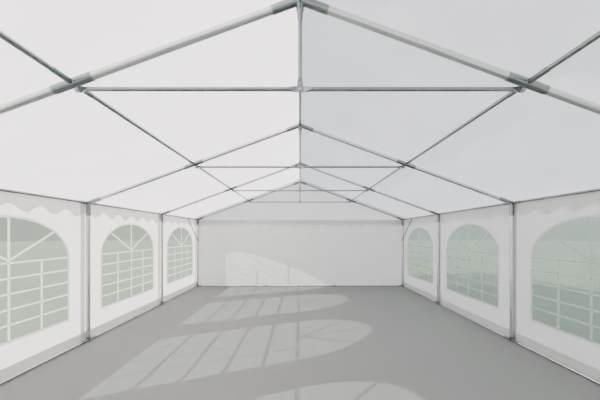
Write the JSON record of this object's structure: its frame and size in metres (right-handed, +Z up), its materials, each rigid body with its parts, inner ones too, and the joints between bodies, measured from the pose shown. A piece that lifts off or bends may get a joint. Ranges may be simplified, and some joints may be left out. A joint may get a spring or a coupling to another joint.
{
  "type": "marquee tent",
  "caption": "Marquee tent on a bolted tube frame, with a ridge roof sheet, scalloped valance, arched clear windows and an open doorway.",
  "frame": {"origin": "centre of the plan, on the ground", "axes": "+Y along the ridge from the doorway to the closed back wall, +X to the right, +Z up"},
  "size_m": [6.0698, 8.0698, 3.0937],
  "materials": {
    "galvanised_tube": "hot-dip galvanised round tube, dull and slightly mottled",
    "galvanised_fitting": "welded fittings and posts, galvanised after welding",
    "roof_sheet": "white coated polyester sheet, faint weave, lets daylight through",
    "wall_sheet": "white coated polyester sheet with welded hems and lap seams",
    "window_film": "clear soft film with welded white glazing bars"
  },
  "bodies": {
    "root": {"post_left_1": "galvanised_fitting", "rafter_left_1": "galvanised_tube", "post_right_1": "galvanised_fitting", "rafter_right_1": "galvanised_tube", "king_post_1": "galvanised_fitting", "tie_beam_1": "galvanised_tube", "post_left_2": "galvanised_fitting", "rafter_left_2": "galvanised_tube", "post_right_2": "galvanised_fitting", "rafter_right_2": "galvanised_tube", "king_post_2": "galvanised_fitting", "tie_beam_2": "galvanised_tube", "post_left_3": "galvanised_fitting", "rafter_left_3": "galvanised_tube", "post_right_3": "galvanised_fitting", "rafter_right_3": "galvanised_tube", "king_post_3": "galvanised_fitting", "tie_beam_3": "galvanised_tube", "post_left_4": "galvanised_fitting", "rafter_left_4": "galvanised_tube", "post_right_4": "galvanised_fitting", "rafter_right_4": "galvanised_tube", "king_post_4": "galvanised_fitting", "tie_beam_4": "galvanised_tube", "post_left_5": "galvanised_fitting", "rafter_left_5": "galvanised_tube", "post_right_5": "galvanised_fitting", "rafter_right_5": "galvanised_tube", "king_post_5": "galvanised_fitting", "tie_beam_5": "galvanised_tube", "ridge_purlin": "galvanised_tube", "slope_purlin_left": "galvanised_tube", "slope_purlin_right": "galvanised_tube", "eave_purlin_left": "galvanised_tube", "eave_purlin_right": "galvanised_tube", "corner_brace_front_left": "galvanised_tube", "corner_brace_front_right": "galvanised_tube", "corner_brace_back_left": "galvanised_tube", "corner_brace_back_right": "galvanised_tube", "ground_bar_left": "galvanised_tube", "ground_bar_right": "galvanised_tube", "ground_bar_back": "galvanised_tube", "ground_bar_front_left": "galvanised_tube", "ground_bar_front_right": "galvanised_tube", "roof_cover": "roof_sheet", "side_wall_left": "wall_sheet", "side_wall_right": "wall_sheet", "back_wall": "wall_sheet", "front_wall_left": "wall_sheet", "front_wall_right": "wall_sheet", "front_wall_header": "wall_sheet", "door_roll": "wall_sheet", "window_film_left": "window_film", "window_film_right": "window_film"}
  },
  "joints": []
}
